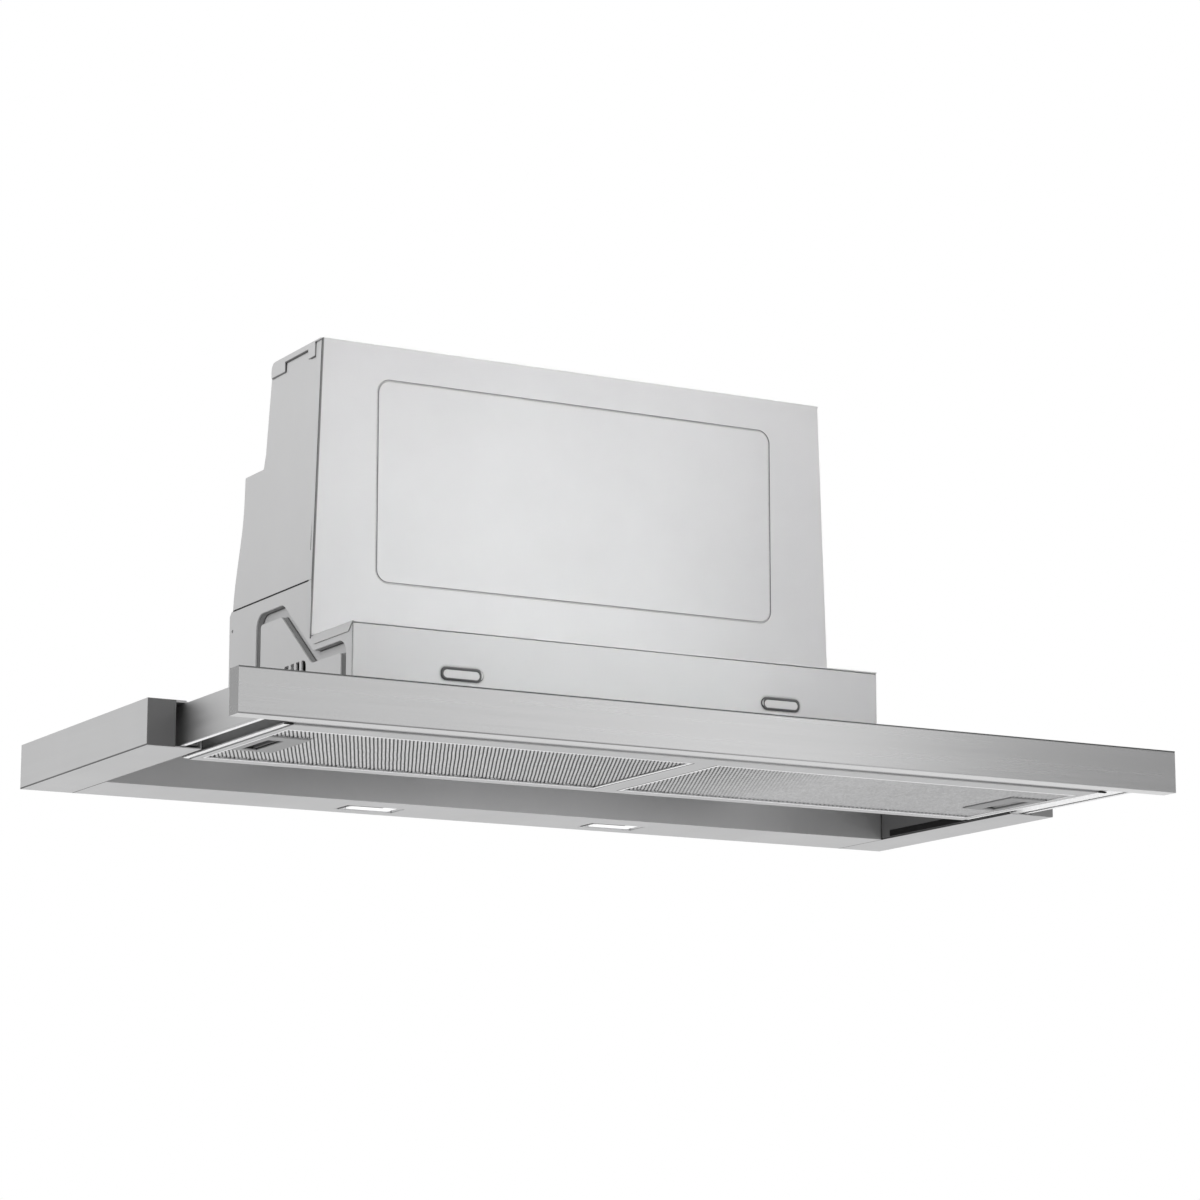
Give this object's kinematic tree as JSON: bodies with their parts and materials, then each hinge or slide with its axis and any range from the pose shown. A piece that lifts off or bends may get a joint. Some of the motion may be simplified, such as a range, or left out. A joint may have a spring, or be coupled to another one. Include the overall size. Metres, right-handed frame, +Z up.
{
  "type": "pull out range hood",
  "caption": "Pull-out range hood for a wall cabinet: slim base with lamps, sliding front with grease filters on ball rails, tapered blower housing with a round outlet.",
  "frame": {"origin": "centre of the underside of the whole hood with the front pulled fully out", "axes": "+Z up, -Y out of the cabinet towards the user, +X to the right seen from the front"},
  "size_m": [0.898, 0.4736, 0.3895],
  "materials": {
    "brushed_steel": "fine horizontal brushing",
    "grey_paint": "satin",
    "housing": "smooth moulded",
    "housing_cover": "satin",
    "galvanised": "zinc coated sheet",
    "rail_steel": "zinc plated, greased",
    "dark_plastic": "fine grain",
    "cap_plastic": "fine grain",
    "button_plastic": "fine grain",
    "lamp_white": "satin",
    "lamp_lens": "frosted",
    "filter_aluminium": "drawn edge",
    "filter_mesh": "expanded sheet",
    "grip_plastic": "satin",
    "motor_steel": "satin",
    "module_plastic": "smooth"
  },
  "bodies": {
    "housing": {"side_member_left": "grey_paint", "side_member_right": "grey_paint", "end_cap_left": "cap_plastic", "end_cap_right": "cap_plastic", "rear_strip": "grey_paint", "base_deck": "galvanised", "lamp_tray_left": "lamp_white", "lamp_tray_right": "lamp_white", "lamp_lens_left": "lamp_lens", "lamp_lens_right": "lamp_lens", "fixed_rail_left": "rail_steel", "fixed_rail_right": "rail_steel", "lower_housing": "housing", "lower_front_cover": "housing_cover", "box_lid": "housing", "side_channel_left": "housing", "side_channel_right": "housing", "deck_screws": "rail_steel", "upper_housing": "housing", "upper_front_cover": "housing_cover", "top_cover": "housing", "housing_screws": "rail_steel", "flap_pin": "rail_steel", "scroll_housing": "dark_plastic", "motor": "motor_steel", "motor_mount": "galvanised", "capacitor": "motor_steel", "power_module": "module_plastic", "cable_gland": "dark_plastic"},
    "pullout": {"front_panel": "brushed_steel", "panel_back": "dark_plastic", "cross_rail": "grey_paint", "tray_channel_left": "grey_paint", "tray_channel_right": "grey_paint", "moving_rail_left": "rail_steel", "moving_rail_right": "rail_steel", "filter_tray": "grey_paint", "control_housing": "cap_plastic"},
    "ball_cage_left": {"ball_cage_left": "rail_steel"},
    "ball_cage_right": {"ball_cage_right": "rail_steel"},
    "filter_left": {"filter_frame_left": "filter_aluminium", "filter_mesh_left": "filter_mesh", "filter_grip_left": "grip_plastic"},
    "filter_right": {"filter_frame_right": "filter_aluminium", "filter_mesh_right": "filter_mesh", "filter_grip_right": "grip_plastic"},
    "latch_left": {"filter_latch_left": "cap_plastic"},
    "latch_right": {"filter_latch_right": "cap_plastic"},
    "power_button": {"power_button": "button_plastic"},
    "light_button": {"light_button": "button_plastic"},
    "low_speed_button": {"low_speed_button": "button_plastic"},
    "medium_speed_button": {"medium_speed_button": "button_plastic"},
    "high_speed_button": {"high_speed_button": "button_plastic"},
    "impeller": {"impeller": "dark_plastic"},
    "front_flap": {"front_flap": "dark_plastic"},
    "rear_flap": {"rear_flap": "dark_plastic"}
  },
  "joints": [
    {"name": "pullout_slide", "type": "slide", "parent": "housing", "child": "pullout", "axis": [0, 1, 0], "range_m": [0, 0.155]},
    {"name": "ball_cage_left_slide", "type": "slide", "parent": "housing", "child": "ball_cage_left", "axis": [0, 1, 0], "range_m": [0, 0.0775]},
    {"name": "ball_cage_right_slide", "type": "slide", "parent": "housing", "child": "ball_cage_right", "axis": [0, 1, 0], "range_m": [0, 0.0775]},
    {"name": "filter_left_drop", "type": "hinge", "parent": "pullout", "child": "filter_left", "pos_m": [-0.015, -0.09545, 0.003], "axis": [0, -1, 0], "range_deg": [0, 75]},
    {"name": "filter_right_drop", "type": "hinge", "parent": "pullout", "child": "filter_right", "pos_m": [0.015, -0.09545, 0.003], "axis": [0, 1, 0], "range_deg": [0, 75]},
    {"name": "latch_left_slide", "type": "slide", "parent": "filter_left", "child": "latch_left", "axis": [1, 0, 0], "range_m": [0, 0.0045], "stiffness_N_per_m": 300, "springref_m": -0.003},
    {"name": "latch_right_slide", "type": "slide", "parent": "filter_right", "child": "latch_right", "axis": [-1, 0, 0], "range_m": [0, 0.0045], "stiffness_N_per_m": 300, "springref_m": -0.003},
    {"name": "power_button_press", "type": "slide", "parent": "pullout", "child": "power_button", "axis": [0, 0, -1], "range_m": [0, 0.0012], "stiffness_N_per_m": 400, "springref_m": -0.001},
    {"name": "light_button_press", "type": "slide", "parent": "pullout", "child": "light_button", "axis": [0, 0, -1], "range_m": [0, 0.0012], "stiffness_N_per_m": 400, "springref_m": -0.001},
    {"name": "low_speed_button_press", "type": "slide", "parent": "pullout", "child": "low_speed_button", "axis": [0, 0, -1], "range_m": [0, 0.0012], "stiffness_N_per_m": 400, "springref_m": -0.001},
    {"name": "medium_speed_button_press", "type": "slide", "parent": "pullout", "child": "medium_speed_button", "axis": [0, 0, -1], "range_m": [0, 0.0012], "stiffness_N_per_m": 400, "springref_m": -0.001},
    {"name": "high_speed_button_press", "type": "slide", "parent": "pullout", "child": "high_speed_button", "axis": [0, 0, -1], "range_m": [0, 0.0012], "stiffness_N_per_m": 400, "springref_m": -0.001},
    {"name": "impeller_spin", "type": "hinge", "parent": "housing", "child": "impeller", "pos_m": [0, 0.12275, 0.2315], "axis": [1, 0, 0], "continuous": true},
    {"name": "front_flap_lift", "type": "hinge", "parent": "housing", "child": "front_flap", "pos_m": [0, 0.12025, 0.3538], "axis": [-1, 0, 0], "range_deg": [0, 80]},
    {"name": "rear_flap_lift", "type": "hinge", "parent": "housing", "child": "rear_flap", "pos_m": [0, 0.12025, 0.3538], "axis": [1, 0, 0], "range_deg": [0, 80]}
  ],
  "couplings": [
    {"joint": "ball_cage_left_slide", "follows": "pullout_slide", "ratio": 0.5},
    {"joint": "ball_cage_right_slide", "follows": "pullout_slide", "ratio": 0.5}
  ]
}
